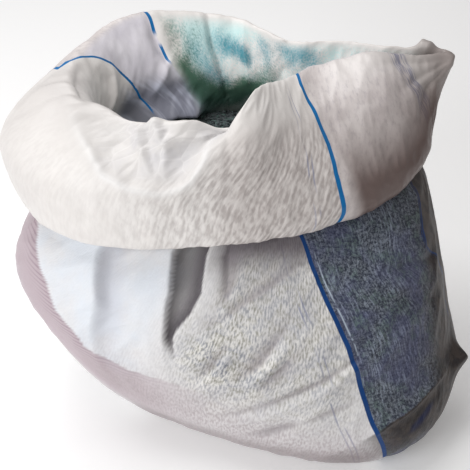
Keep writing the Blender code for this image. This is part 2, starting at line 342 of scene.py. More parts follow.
ROLL_STRIPES = {
    "right": ((0.05, 0.0), (0.054, 3.4), (0.052, 3.8), (0.048, 4.12), (0.044, 4.3), (0.04, 6.0), (0.04, 9.0)),
    "front": (
        (0.158, 0.0), (0.166, 3.49), (0.16, 3.98), (0.16, 4.5), (0.165, 4.91), (0.167, 5.45), (0.172, 6.33),
        (0.175, 9.0),
    ),
    "left": (
        (0.66, 0.0), (0.64, 1.42), (0.608, 1.79), (0.588, 2.24), (0.572, 2.55), (0.542, 2.99), (0.5285, 3.33),
        (0.5226, 3.68), (0.545, 4.2), (0.56, 9.0),
    ),
    "back": (
        (0.72, 0.0), (0.693, 1.49), (0.653, 2.29), (0.65, 2.48), (0.648, 2.69), (0.65, 2.93), (0.65, 9.0),
    ),
}


def cloth_coordinates(cloth, stripes):
    """Metres round and along the flat cloth at every point, with one column more to close the round.

    Row by row, the shares between two stripes are stretched evenly between their places in the weave.
    """
    woven = list(TAPE_STRIPES.values())
    woven = [woven[-1] - 1, *woven, woven[0] + 1]
    shares = np.append(cloth.shares, 1.0)
    rows = []
    for level in cloth.levels:
        lies = [np.interp(level, *np.transpose(stripes[name])[::-1]) for name in TAPE_STRIPES]
        rows.append(np.interp(shares, [lies[-1] - 1, *lies, lies[0] + 1], woven))
    around = np.array(rows) * GIRTH
    along = np.broadcast_to(cloth.along[:, None], around.shape)
    return np.stack([around, along], axis=2)


def grid_mesh(name, points, uv=None, flip=False, pole=None, far_pole=None, masks=None):
    """A mesh of four-sided faces between neighbouring rows and columns, closed round, with fans to poles."""
    rows, columns = points.shape[:2]
    column = np.arange(columns)
    right = (column + 1) % columns
    corner_rows = np.arange(rows - 1)[:, None, None] + np.array([0, 0, 1, 1])
    corner_columns = column[None, :, None] + np.array([0, 1, 1, 0])
    corners = np.broadcast_arrays(corner_rows, corner_columns)
    corner_rows, corner_columns = (part.reshape(-1, 4) for part in corners)
    if flip:
        corner_rows, corner_columns = corner_rows[:, ::-1], corner_columns[:, ::-1]
    faces = [(corner_rows * columns + corner_columns % columns).reshape(-1)]
    counts = [np.full(len(corner_rows), 4)]
    uv_rows, uv_columns = [corner_rows.reshape(-1)], [corner_columns.reshape(-1)]
    vertices = [points.reshape(-1, 3)]
    for place, row, turned in ((pole, 0, flip), (far_pole, rows - 1, not flip)):
        if place is None:
            continue
        tip = np.full(columns, sum(len(part) for part in vertices))
        fan = np.stack([row * columns + right, row * columns + column, tip], axis=1)
        fan_columns = np.stack([column + 1, column, column], axis=1)
        if turned:
            fan, fan_columns = fan[:, ::-1], fan_columns[:, ::-1]
        vertices.append(np.array([place]))
        faces.append(fan.reshape(-1))
        counts.append(np.full(columns, 3))
        uv_rows.append(np.full(columns * 3, row))
        uv_columns.append(fan_columns.reshape(-1))
    vertices, faces, counts = (np.concatenate(parts) for parts in (vertices, faces, counts))
    mesh = bpy.data.meshes.new(name)
    mesh.vertices.add(len(vertices))
    mesh.vertices.foreach_set("co", vertices.astype(np.float32).ravel())
    mesh.loops.add(len(faces))
    mesh.loops.foreach_set("vertex_index", faces.astype(np.int32))
    mesh.polygons.add(len(counts))
    mesh.polygons.foreach_set("loop_start", np.concatenate([[0], np.cumsum(counts)[:-1]]).astype(np.int32))
    mesh.update(calc_edges=True)
    if uv is not None:
        uv = uv[np.concatenate(uv_rows), np.concatenate(uv_columns)]
        mesh.uv_layers.new(name="cloth").uv.foreach_set("vector", uv.astype(np.float32).ravel())
    for mask, values in (masks or {}).items():
        padded = np.zeros(len(vertices), np.float32)
        padded[: points.shape[0] * columns] = np.broadcast_to(values, (rows, columns)).ravel()
        mesh.attributes.new(mask, "FLOAT", "POINT").data.foreach_set("value", padded)
    mesh.validate()
    mesh.shade_smooth()
    return mesh


def shown(name, mesh, material):
    """An object at the origin that shows this mesh."""
    mesh.materials.append(material)
    made = bpy.data.objects.new(name, mesh)
    bpy.context.scene.collection.objects.link(made)
    return made


# Materials.


class Value:
    """A number that varies over the surface. Sums and products of these add Math nodes."""

    def __init__(self, tree, socket):
        self.tree = tree
        self.socket = socket

    def math(self, operation, *others):
        return self.tree.node("ShaderNodeMath", {"operation": operation}, dict(enumerate((self, *others))))

    def __add__(self, other):
        return self.math("ADD", other)

    def __sub__(self, other):
        return self.math("SUBTRACT", other)

    def __mul__(self, other):
        return self.math("MULTIPLY", other)

    def __rsub__(self, other):
        return self.tree.node("ShaderNodeMath", {"operation": "SUBTRACT"}, {0: other, 1: self})

    __radd__ = __add__
    __rmul__ = __mul__

    def ramp(self, low, high):
        """0 below low and 1 above high, smooth between them; turned round where low is above high."""
        settings = {"interpolation_type": "SMOOTHSTEP", "clamp": True}
        sockets = {"Value": self, "From Min": low, "From Max": high, "To Min": 0.0, "To Max": 1.0}
        return self.tree.node("ShaderNodeMapRange", settings, sockets)

    def near(self, place, half_width, edge):
        """1 within this distance of a place and 0 past its edge."""
        return (self - place).math("ABSOLUTE").ramp(half_width + edge, half_width)

    def part(self, name):
        """One more output of the node that this value came from."""
        return Value(self.tree, self.socket.node.outputs[name])


def greatest(first, *others):
    """The greatest of several values."""
    for other in others:
        first = first.math("MAXIMUM", other)
    return first


class Tree:
    """A material being made, on one Principled shader."""

    def __init__(self, name, **constants):
        self.material = bpy.data.materials.new(name)
        self.material.use_nodes = True
        self.nodes = self.material.node_tree.nodes
        self.links = self.material.node_tree.links
        self.shader = self.nodes["Principled BSDF"]
        self.finish(**constants)

    def node(self, kind, settings=(), sockets=(), output=0):
        """Adds a node: its settings first, then its sockets' values or links."""
        made = self.nodes.new(kind)
        for key, value in dict(settings).items():
            setattr(made, key, value)
        for key, value in dict(sockets).items():
            self.put(made.inputs[key], value)
        return Value(self, made.outputs[output])

    def put(self, socket, value):
        """Links a value, or sets a constant."""
        if isinstance(value, Value):
            self.links.new(value.socket, socket)
        else:
            socket.default_value = value

    def attribute(self, name):
        return self.node("ShaderNodeAttribute", {"attribute_name": name}, output="Fac")

    def cloth(self):
        """Metres round and along the flat cloth, together and apart."""
        uv = self.node("ShaderNodeUVMap", {"uv_map": "cloth"})
        around = self.node("ShaderNodeSeparateXYZ", {}, {"Vector": uv})
        return uv, around, around.part("Y")

    def place(self):
        """Object coordinates, in metres."""
        return self.node("ShaderNodeTexCoord", output="Object")

    def noise(self, vector, scale, detail=2.0, roughness=0.5):
        sockets = {"Vector": vector, "Scale": scale, "Detail": detail, "Roughness": roughness}
        return self.node("ShaderNodeTexNoise", {}, sockets)

    def strokes(self, vector, width, length, turn, detail=2.0, roughness=0.55):
        """Noise in strokes this wide and long, in metres, up the cloth or leaning left by this turn."""
        sockets = {"Vector": vector, "Scale": (width, length, 1), "Rotation": (0, 0, math.radians(turn))}
        laid = self.node("ShaderNodeMapping", {"vector_type": "TEXTURE"}, sockets)
        return self.noise(laid, 0.5, detail, roughness)

    def mix(self, factor, first, second):
        """The first colour with the second one over it by this factor."""
        first, second = (it if isinstance(it, Value) else (*it[:3], 1.0) for it in (first, second))
        return self.node("ShaderNodeMix", {"data_type": "RGBA"}, {0: factor, 6: first, 7: second}, output=2)

    def layers(self, colour, *layers):
        """A colour with others over it, from the bottom up, each by its own factor."""
        for factor, over in layers:
            colour = self.mix(factor, colour, over)
        return colour

    def bump(self, height, distance, normal=None):
        sockets = {"Height": height, "Distance": distance, "Strength": 1.0}
        if normal is not None:
            sockets["Normal"] = normal
        return self.node("ShaderNodeBump", {}, sockets)

    def finish(self, **sockets):
        """Links values to the shader's sockets, or sets constants there."""
        for socket, value in sockets.items():
            self.put(self.shader.inputs[socket.replace("_", " ")], value)
        return self.material


def woven_tapes(tree, uv, around, along, pitch, lean, length):
    """Height of a plain weave of flat tapes: slanting strokes of this pitch and length, laid like bricks.

    It is the sum of a wave across the strokes and one along them, half a stroke out from row to row.
    Noise bends both, so that no two strokes are alike.
    """
    wander = (tree.noise(uv, 85.0) - 0.5) * 5.5
    across = ((around + along * lean) * (2 * math.pi / pitch) + wander).math("COSINE")
    other_wander = (tree.noise(uv, 120.0, 1.0) - 0.5) * 8.0
    dashes = (along * (2 * math.pi / length) + around * (math.pi / pitch) + other_wander).math("COSINE")
    return across * 0.62 + dashes * 0.38


def stripe_mask(around, half_width, at_right):
    """1 on the woven stripes that edge the two see-through strips, times at_right on the right-hand one."""
    stripes = {name: around.near(share * GIRTH, half_width, 0.0007) for name, share in TAPE_STRIPES.items()}
    stripes["right"] = stripes["right"] * at_right
    return greatest(*stripes.values())


def strip_mask(around):
    """1 on the see-through strips between the stripes."""
    right, front, left, back = TAPE_STRIPES.values()
    half = (front - right) / 2 * GIRTH
    middles = (right + front) / 2 * GIRTH, (left + back) / 2 * GIRTH
    return greatest(*(around.near(middle, half, 0.001) for middle in middles))


def twin_lines(tree, uv, around):
    """Two faint coloured tapes side by side, a little beyond the front stripe, broken into dashes."""
    middle = (TAPE_STRIPES["front"] + 0.0235) * GIRTH
    pair = greatest(*(around.near(middle + side, 0.0004, 0.0007) for side in (-0.0024, 0.0024)))
    return pair * tree.strokes(uv, 0.004, 0.022, 0.0).ramp(0.42, 0.58)


def wall_material(cloth):
    """The sack's outer face: white tapes, blue stripes, and see-through strips with dark fill behind them."""
    tree = Tree("woven_cloth", Roughness=0.5, Specular_IOR_Level=0.35)
    mask = tree.attribute
    uv, around, along = tree.cloth()
    place = tree.place()
    shows = mask("fill_shows")
    height = woven_tapes(tree, uv, around, along, cloth.pitch * 0.54, 0.45, cloth.pitch * 0.9)
    cloudy = tree.noise(place, 22.0, 3.0, 0.55)
    strokes = (tree.strokes(uv, 0.0008, 0.0028, 24.0, 2.0, 0.5) - height * 0.05).ramp(0.36, 0.7)
    blotches = tree.strokes(uv, 0.007, 0.034, 52.0, 2.0, 0.5)
    gaps = tree.mix(tree.noise(uv, 90.0).ramp(0.42, 0.58), (0.17, 0.165, 0.11), (0.17, 0.19, 0.24))
    ribs = (along * (2 * math.pi / (cloth.pitch * 1.05))).math("SINE").ramp(-0.2, 1.0)
    white = tree.layers(
        cloth.white,
        (strokes * 0.13, (0.5, 0.49, 0.51)),
        # Painted bluish light on the lit left of the front, in patches.
        (mask("cool_light") * cloudy.ramp(0.25, 0.65) * 0.7, (0.76, 0.82, 0.9)),
        (shows * blotches.ramp(0.66, 0.34) * 0.55, (0.8, 0.775, 0.7)),
        (shows * blotches.ramp(0.36, 0.66) * 0.38, (0.3, 0.295, 0.285)),
        (strokes * shows * 0.84, gaps),
        (twin_lines(tree, uv, around) * 0.6, (0.2, 0.22, 0.36)),
        # Painted shade on the underside that turns away past the turned-in edge, its weft ribs darker still.
        (mask("underside_shade"), (0.5, 0.415, 0.45)),
        (mask("underside_shade") * mask("ribs") * ribs * 0.6, (0.3, 0.215, 0.26)),
        # Painted shade along the foot of the front, where the cloth turns under, stronger on the strokes.
        (mask("mauve") * (strokes * 0.45 + 0.35), (0.42, 0.36, 0.375)),
        # Painted shade at the very foot of the front, against the ground.
        (mask("rim") * 0.62, (0.27, 0.215, 0.225)),
        # Painted shade in the grooves of the folds.
        (mask("crease") * 0.62, (0.33, 0.295, 0.31)),
        # Painted shadow under the roll's lower edge.
        (mask("under") * 0.85, (0.105, 0.084, 0.102)),
        # Painted shade in the hollow beside the upright fold on the left.
        (mask("grey") * 0.45, (0.45, 0.44, 0.5)),
    )
    strip = strip_mask(around)
    glint = around.near(TAPE_STRIPES["front"] * GIRTH - 0.0062, 0.0004, 0.0006) * mask("glint")
    dashes = tree.strokes(uv, 0.0011, 0.05, 0.0, 1.0, 0.5).ramp(0.38, 0.52) * 0.6
    # Mottling for the painted shade on the right side.
    shade_mottle = tree.noise(place, 90.0, 3.0, 0.6).ramp(0.4, 0.62)
    right_stripe = TAPE_STRIPES["right"] * GIRTH
    beyond = around.ramp(right_stripe + 0.004, right_stripe) * 0.93
    colour = tree.layers(
        white,
        (strip, slate_strip(tree, cloth, uv, place, cloudy)),
        (glint * tree.strokes(uv, 0.003, 0.0045, 0.0).ramp(0.42, 0.56), (0.42, 0.49, 0.58)),
        # Painted shade, mottled dark brown, on the right side past the right stripe and under the turned-under
        # hem.
        (greatest(mask("side_and_hem_shade"), beyond), tree.mix(shade_mottle, (0.06, 0.045, 0.038), (0.026, 0.02, 0.019))),
        # The stripes' blue on the wall: a darker copy with painted shade.
        (stripe_mask(around, cloth.stripe_width * 0.39, dashes), cloth.stripe),
        # Painted shadow in the gap under the turned-under hem, nearly black.
        (mask("hem_gap_shadow") * 0.9, (0.01, 0.008, 0.01)),
        (mask("blue") * 0.95, (0.003, 0.008, 0.055)),
        (mask("shade") * 0.75, (0.15, 0.135, 0.14)),
        # Painted shade inside the deep fold, darker along its right-hand side.
        (mask("fold_right_shade") * 0.75, (0.06, 0.045, 0.062)),
    )
    fine = tree.noise(place, 220.0, 3.0, 0.6)
    rough = strip * (-0.1) + (fine - 0.5) * 0.2 + 0.52
    weave = tree.bump(height, 0.00005)
    return tree.finish(Base_Color=colour, Roughness=rough, Normal=tree.bump(fine, 0.00022, weave))


def slate_strip(tree, cloth, uv, place, cloudy):
    """The dark fill behind clear tapes: specks and patches of blue and green, under fine pale threads with
    painted glints.
    """
    grains = tree.noise(place, 400.0, 3.0, 0.8)
    green = tree.noise(place, 55.0, 3.0, 0.6).ramp(0.48, 0.62)
    warp = tree.strokes(uv, 0.0009, 0.009, 3.0, 3.0, 0.6).ramp(0.45, 0.68)
    weft = tree.strokes(uv, 0.01, 0.001, 0.0).ramp(0.5, 0.75)
    patches = tree.noise(place, 26.0).ramp(0.38, 0.64)
    # The threads are painted brighter as glints, most on the lit patch.
    threads = greatest(warp, weft * 0.5) * (patches * 0.8 + 0.25) * tree.attribute("clear")
    return tree.layers(
        cloth.slate,
        (grains.ramp(0.41, 0.6), (0.215, 0.245, 0.29)),
        (cloudy.ramp(0.42, 0.62) * (grains.ramp(0.3, 0.6) * 0.4 + 0.3), (0.085, 0.092, 0.2)),
        (green * grains.ramp(0.4, 0.6) * 0.65, (0.085, 0.15, 0.115)),
        (warp.ramp(0.35, 0.0) * 0.3, (0.025, 0.03, 0.05)),
        (threads * (grains.ramp(0.35, 0.6) * 0.5 + 0.5), (0.33, 0.38, 0.48)),
    )


def roll_material(cloth):
    """The cloth's inner face, turned outward: smoother, with greyish strips and the print showing faintly."""
    tree = Tree("rolled_cloth", Roughness=0.5, Specular_IOR_Level=0.35)
    mask = tree.attribute
    uv, around, along = tree.cloth()
    place = tree.place()
    strip = strip_mask(around)
    woven = mask("woven") * (1 - strip)
    height = woven_tapes(tree, uv, around, along, cloth.pitch * 1.1, -0.58, cloth.pitch * 2.0)
    cloudy = tree.noise(place, 26.0, 3.0, 0.55)
    strokes = (tree.strokes(uv, 0.0018, 0.0056, -30.0) - height * 0.06).ramp(0.36, 0.68)
    white = tree.layers(
        cloth.lining,
        (cloudy.ramp(0.35, 0.65) * 0.25, (0.7, 0.66, 0.63)),
        # Painted shade, brownish, on the lower front of the roll, where the woven strokes also show more.
        (mask("tan") * 0.42, (0.5, 0.44, 0.42)),
        (strokes * woven * (mask("tan") * 0.15 + 0.4), (0.27, 0.225, 0.215)),
        (mask("dip") * 0.3, (0.62, 0.6, 0.575)),
        # Painted highlight along the rim of the dip.
        (mask("brow") * 0.6, (0.93, 0.92, 0.91)),
        # Painted shade on the left of the crest and down the left side.
        (mask("crest_shade") * 0.45, (0.5, 0.47, 0.46)),
        (twin_lines(tree, uv, around) * 0.6, (0.2, 0.23, 0.38)),
    )
    mottled = tree.strokes(uv, 0.0018, 0.0038, -30.0, 3.0, 0.65)
    film = tree.layers(
        tree.mix(cloudy.ramp(0.35, 0.65), (0.63, 0.575, 0.565), (0.75, 0.7, 0.685)),
        (mottled.ramp(0.48, 0.68) * 0.36, (0.36, 0.33, 0.36)),
        (mottled.ramp(0.44, 0.28) * 0.45, (0.8, 0.76, 0.74)),
        # Painted light on the crest above the right strip.
        (mask("pale") * 0.62, (0.86, 0.825, 0.805)),
    )
    # Painted sheen for the flap on the fill.
    sheen = tree.strokes(uv, 0.009, 0.026, 50.0, 2.0, 0.5).ramp(0.46, 0.7)
    bent = tree.node("ShaderNodeMapping", {}, {"Vector": uv, "Scale": (1.4, 0.9, 1), "Rotation": (0, 0, 0.4)})
    to_edge = {"feature": "DISTANCE_TO_EDGE"}
    facets = tree.node("ShaderNodeTexVoronoi", to_edge, {"Vector": bent, "Scale": 38.0})
    scratches = tree.strokes(uv, 0.001, 0.01, -6.0, 2.0, 0.6).ramp(0.42, 0.56)
    scratches = scratches * around.near(TAPE_STRIPES["right"] * GIRTH + 0.003, 0.006, 0.006)
    colour = tree.layers(
        white,
        (strip * 0.95, film),
        (mask("inside") * strip, tree.mix(cloudy.ramp(0.3, 0.7), (0.85, 0.82, 0.87), (0.72, 0.69, 0.75))),
        # Painted shade on the flap lying on the fill, with painted sheen on it.
        (mask("flap_shade") * 0.85, tree.mix(sheen, (0.145, 0.158, 0.215), (0.42, 0.45, 0.56))),
        (mask("film") * (cloudy.ramp(0.4, 0.62) * 0.35 + 0.1), (0.6, 0.6, 0.65)),
        # Painted highlights on the edges of the film's crinkles.
        (facets.ramp(0.05, 0.0) * mask("film") * 0.3, (0.93, 0.91, 0.9)),
        *print_layers(tree, uv),
        # The stripes' blue on the roll: a lighter copy with painted light.
        (stripe_mask(around, cloth.stripe_width * 0.42, 0.0) * mask("striped"), cloth.lit_stripe),
        (scratches * (1 - mask("inside")) * 0.7, (0.17, 0.2, 0.34)),
        (mask("shade"), (0.138, 0.094, 0.084)),
    )
    fine = tree.noise(place, 200.0, 3.0, 0.6)
    rough = woven * 0.16 + (fine - 0.5) * 0.2 + 0.38
    weave = tree.bump(height * woven, 0.00013)
    weave = tree.bump(facets * mask("film"), 0.0024, weave)
    return tree.finish(Base_Color=colour, Roughness=rough, Normal=tree.bump(fine, 0.0002, weave))


def print_layers(tree, uv):
    """The outside's print seen from within: soft aqua, teal and green smears, mottled by the weave."""
    mask = tree.attribute
    speck = (tree.noise(uv, 420.0, 2.0, 0.6) - 0.5) * 0.8
    wash = tree.strokes(uv, 0.03, 0.055, -35.0, 3.0) + speck * 0.5
    teal = mask("teal") + tree.strokes(uv, 0.016, 0.034, -35.0, 3.0, 0.6) * 0.9 + speck
    green = mask("green") + tree.strokes(uv, 0.014, 0.03, -35.0, 3.0, 0.6) * 0.9 + speck
    return (
        (wash.ramp(0.34, 0.62) * mask("print") * 0.72, (0.5, 0.83, 0.83)),
        (teal.ramp(0.5, 1.55) * mask("print") * 0.92, (0.02, 0.27, 0.35)),
        (green.ramp(0.55, 1.35) * mask("print") * 0.94, (0.04, 0.125, 0.07)),
        # Painted shade deep in the mouth, over the print near the fill.
        (mask("deep") * mask("deep") * mask("print") * 0.85, (0.015, 0.045, 0.035)),
    )


def cement_material(fill):
    """Dark damp granules with paler and greener ones among them."""
    tree = Tree("cement", Roughness=0.9, Specular_IOR_Level=0.3)
    place = tree.place()
    grains = tree.node("ShaderNodeTexVoronoi", {}, {"Vector": place, "Scale": 420.0}, output="Color")
    chance = tree.node("ShaderNodeSeparateColor", {}, {"Color": grains})
    colour = tree.layers(
        fill.colour,
        (chance.ramp(0.1, 0.9), (0.11, 0.13, 0.135)),
        (chance.part("Green").ramp(0.75, 0.95), (0.1, 0.17, 0.15)),
    )
    fine = tree.noise(place, 700.0, 2.0, 0.6)
    return tree.finish(Base_Color=colour, Roughness=fine * 0.3 + 0.7, Normal=tree.bump(fine, 0.0008))


def floor_material(stage):
    """Matt, and glowing a little."""
    tree = Tree("pale_floor", Roughness=0.9, Specular_IOR_Level=0.1)
    white = (1.0, 1.0, 1.0, 1.0)
    return tree.finish(Base_Color=stage.floor, Emission_Color=white, Emission_Strength=stage.glow)


# The pieces.

# The edge of the sack's turned-in bottom, from the neck on the left down to the tip of the deep fold.
TURNED_EDGE = (
    (0.47, 4.8, 0.4), (0.464, 4.41), (0.429, 4.1), (0.405, 3.85), (0.383, 3.42), (0.358, 3.1), (0.352, 2.9),
    (0.336, 2.83), (0.314, 2.74, 0.8), (0.28, 2.7, 0.4), (0.24, 2.55, 0.0),
)
# The two edges of the deep fold under the roll.
DEEP_LEFT = ((0.2745, 3.1), (0.2865, 3.46), (0.2895, 3.68), (0.299, 4.22), (0.318, 4.71), (0.325, 5.4))
DEEP_RIGHT = (
    (0.2745, 3.1), (0.281, 3.5), (0.28, 3.65), (0.2745, 3.95), (0.274, 4.23), (0.288, 4.72), (0.293, 5.4),
)
# The edge of the hem that is turned under at the right.
HEM_EDGE = (
    (0.12, 2.05, 0.2), (0.108, 2.22, 0.8), (0.097, 2.34), (0.083, 2.42), (0.057, 2.6), (0.03, 2.62, 0.6),
)

WALL_FOLDS = (
    Fold(TURNED_EDGE, 0.006, (0.03, 0.014), 1.3),
    Fold(DEEP_LEFT[1:], 0.003, (0.003, 0.022), 1.2),
    # The upright fold on the left: a ridge, and the hollow beside it.
    Fold(((0.34, 2.7, 0.3), (0.355, 3.92), (0.387, 4.56), (0.395, 5.2)), 0.0045, (0.004, 0.022), 1.2),
    Fold(((0.333, 2.6, 0.2), (0.34, 3.79), (0.375, 4.6), (0.382, 5.2)), -0.0045, (0.014, 0.008), 1.8),
    # The slanting folds across the front.
    Fold(((0.13, 3.22, 0.5), (0.15, 2.95), (0.172, 2.74), (0.198, 2.48), (0.236, 2.14, 0.4)),
         0.0055, (0.006, 0.012), 1.3),
    Fold(((0.128, 3.33, 0.6), (0.153, 3.06), (0.172, 2.88), (0.198, 2.63, 0.8), (0.237, 2.27, 0.4)),
         -0.0042, (0.004, 0.003), 1.3),
    Fold(((0.186, 3.55, 0.4), (0.193, 3.35), (0.2, 3.16), (0.211, 2.95, 0.5)), 0.0045, 0.005, 1.5),
    Fold(((0.23, 3.35, 0.4), (0.234, 3.23), (0.24, 3.01), (0.249, 2.83, 0.5)), 0.004, 0.005, 1.5),
    Fold(((0.141, 2.89, 0.3), (0.167, 2.48), (0.183, 2.12, 0.4)), 0.0035, (0.005, 0.01), 1.2),
    Fold(((0.244, 4.45, 0.2), (0.245, 4.2), (0.25, 3.9, 0.3)), 0.0035, (0.004, 0.01), 1.2),
    Fold(((0.13, 2.72, 0.4), (0.153, 2.55), (0.174, 2.35), (0.195, 2.14), (0.212, 1.96, 0.5)),
         -0.0045, (0.01, 0.003), 1.2),
    Fold(((0.19, 4.6, 0.4), (0.215, 4.32), (0.235, 4.09), (0.252, 3.79, 0.5)), -0.0034, (0.011, 0.003), 1.2),
    Fold(((0.192, 3.75, 0.4), (0.206, 3.25), (0.2165, 3.04, 0.5)), -0.0045, (0.01, 0.003), 1.3),
    Fold(((0.18, 3.45, 0.4), (0.187, 3.24), (0.1945, 3.09), (0.204, 2.88, 0.4)),
         -0.0038, (0.003, 0.007), 1.3),
    Fold(((0.2355, 3.45, 0.4), (0.244, 3.09), (0.253, 2.86, 0.4)), -0.0035, (0.006, 0.003), 1.3),
    Fold(((0.266, 4.7), (0.255, 4.39), (0.248, 4.14, 0.5)), -0.005, (0.005, 0.009), 1.4),
    # Wrinkles across the see-through strip.
    Fold(((0.095, 4.28, 0.2), (0.085, 4.25), (0.066, 4.19), (0.04, 4.07, 0.6)), -0.0035, 0.005, 1.6),
    Fold(((0.1, 3.9, 0.2), (0.091, 3.9), (0.073, 3.84), (0.045, 3.62, 0.6)), -0.0035, (0.005, 0.006), 1.6),
    Fold(((0.11, 4.6, 0.2), (0.085, 4.55), (0.06, 4.42)), -0.003, 0.006, 1.6),
    # The hem turned under at the right, and the ear at its end.
    Fold(HEM_EDGE, 0.004, (0.004, 0.01), 1.3),
    Fold(((-0.004, 2.42), (0.001, 2.5)), 0.014, 0.011, 1.4),
)

# The rim of the dip in the crest, where the print starts and ends, the painted shade on the crest and side, the
# film, the dip's floor.
DIP_RIM = (
    (0.438, 3.69, 0.2), (0.39, 4.31, 0.8), (0.368, 4.67), (0.344, 4.83), (0.319, 4.88), (0.302, 4.76),
    (0.294, 4.66), (0.2865, 4.31), (0.2895, 3.82, 0.6),
)
PRINT_START = ((0.715, 0.0), (0.708, 1.45), (0.682, 1.75), (0.662, 2.2), (0.657, 9.0))
PRINT_END = ((0.97, 0.0), (0.97, 9.0))
CREST_SHADE_PATH = ((0.5, 3.25), (0.46, 3.4), (0.42, 3.7, 0.6))
SIDE_SHADE_PATH = ((0.515, 3.6, 0.5), (0.51, 4.1, 0.6), (0.49, 4.8, 0.6), (0.46, 5.4, 0.5))
FILM = ((0.378, 3.6, 0.8), (0.362, 3.95), (0.34, 4.15), (0.315, 4.1), (0.3, 3.8, 0.8))
DIP_FLOOR = ((0.4, 3.5, 0.7), (0.37, 3.9), (0.34, 4.1), (0.312, 4.0), (0.3, 3.7, 0.8))

# The print's marks on the back of the lining, seen from within.
TEAL_MARKS = (
    ((0.726, 2.52, 0.8), (0.735, 2.45, 1.1), (0.757, 2.34)),
    ((0.688, 2.38, 0.4), (0.702, 2.24, 0.6), (0.715, 2.03, 0.7), (0.727, 1.79, 0.6)),
    ((0.787, 2.7, 0.7), (0.795, 2.4, 0.6)),
    ((0.818, 2.8, 0.7), (0.826, 2.6, 0.6)),
    ((0.845, 2.78, 0.8), (0.855, 2.6, 0.7)),
)
GREEN_MARKS = (
    ((0.66, 2.25, 0.5), (0.667, 2.1, 0.9), (0.681, 1.85), (0.706, 1.68), (0.749, 1.5), (0.755, 1.85, 0.8)),
    ((0.664, 2.76, 0.45), (0.688, 2.56, 0.4)),
    ((0.776, 1.82, 0.8), (0.796, 2.1, 0.5)),
)

ROLL_FOLDS = (
    # The smooth dip in the front of the crest, its rim, and the tucks in it.
    Fold(DIP_FLOOR, -0.008, 0.026, 3.0),
    Fold(DIP_RIM, 0.0055, (0.022, 0.006), 1.3),
    Fold(((0.331, 3.86, 0.6), (0.315, 3.76), (0.3, 3.67, 0.8)), 0.0045, (0.004, 0.009), 1.2),
    Fold(((0.367, 3.21, 0.7), (0.344, 3.69), (0.327, 4.05, 0.5)), 0.006, (0.0035, 0.007), 1.2),
    Fold(((0.358, 3.17, 0.5), (0.337, 3.65), (0.33, 3.9, 0.5)), -0.0035, (0.004, 0.003), 1.4),
    Fold(((0.368, 3.3, 0.5), (0.368, 3.64), (0.348, 4.14), (0.333, 4.5, 0.6)), 0.0055, (0.003, 0.008), 1.2),
    Fold(((0.357, 3.6, 0.5), (0.34, 4.12), (0.327, 4.5, 0.6)), -0.0028, (0.004, 0.003), 1.4),
    Fold(((0.395, 3.75, 0.5), (0.375, 3.95), (0.355, 4.05, 0.6)), -0.004, 0.01, 1.6),
    Fold(((0.33, 3.92, 0.5), (0.322, 4.2), (0.318, 4.55, 0.6)), 0.003, (0.003, 0.008), 1.3),
    # The lower edge of the roll hangs lower at the right.
    Fold(((0.27, 6.0, 0.3), (0.235, 6.1, 0.6), (0.17, 6.1), (0.12, 6.1), (0.06, 5.9, 0.5)), 0.0085, 0.022),
    # Folds over the left of the roll.
    Fold(((0.485, 3.15, 0.4), (0.487, 3.55), (0.5, 4.1, 0.8)), 0.0035, (0.004, 0.012), 1.3),
    Fold(((0.465, 3.2, 0.5), (0.47, 3.6), (0.48, 4.1), (0.5, 4.6, 0.4)), -0.003, (0.012, 0.006), 1.4),
    Fold(((0.44, 3.35, 0.5), (0.432, 3.7), (0.428, 4.05, 0.4)), 0.0028, (0.005, 0.01), 1.3),
    # The notch in the front of the mouth.
    Fold(((0.288, 3.2), (0.286, 3.54), (0.271, 3.98, 0.6), (0.261, 4.49, 0)), -0.007, (0.01, 0.007), 1.5),
    # Folds down the inside.
    Fold(((0.524, 2.9, 0.5), (0.476, 2.93), (0.43, 3.4, 0.4)), -0.006, 0.009, 1.6),
    Fold(((0.552, 2.69, 0.6), (0.566, 2.41), (0.559, 2.13), (0.53, 1.7, 0.5)), 0.0045, (0.006, 0.008), 1.3),
    Fold(((0.648, 2.85, 0.3), (0.645, 2.58), (0.647, 2.41), (0.655, 2.2, 0.5)),
         -0.0055, (0.006, 0.008), 1.5),
    Fold(((0.656, 2.26, 0.6), (0.645, 2.08), (0.623, 1.77, 0.6)), 0.005, (0.005, 0.01), 1.2),
    Fold(((0.7166, 2.88, 0.4), (0.715, 2.48), (0.724, 2.04), (0.74, 1.5, 0.6)), -0.008, (0.004, 0.012), 1.4),
    Fold(((0.76, 2.9, 0.3), (0.757, 2.5), (0.762, 1.9, 0.7)), 0.005, (0.008, 0.01), 1.5),
    Fold(((0.82, 2.9, 0.4), (0.815, 2.4), (0.8, 1.9, 0.6)), -0.005, (0.007, 0.01), 1.5),
    # The flap of the lining that lies on the fill.
    Fold(((0.59, 1.3, 0.4), (0.628, 1.38), (0.66, 1.42), (0.698, 1.38), (0.715, 1.25, 0.3)),
         0.026, 0.013, 1.5),
    # The pinched corner and the peak beside it.
    Fold(((0.98, 3.15), (0.972, 3.22)), 0.0095, 0.007, 1.3),
    Fold(((0.003, 3.6), (0.006, 3.8)), 0.006, 0.007, 1.3),
    Fold(((0.008, 3.69, 0.7), (0.04, 3.9), (0.072, 4.17, 0.3)), -0.0035, 0.005, 1.5),
    Fold(((0.008, 3.85, 0.7), (0.035, 4.2), (0.062, 4.7, 0.3)), -0.0035, 0.005, 1.5),
    Fold(((0.012, 3.55, 0.7), (0.048, 3.5), (0.09, 3.6, 0.2)), -0.003, (0.005, 0.006), 1.5),
)


# How far the flat cloth reaches in under the seat, in metres.
SEAT_REACH = 0.08


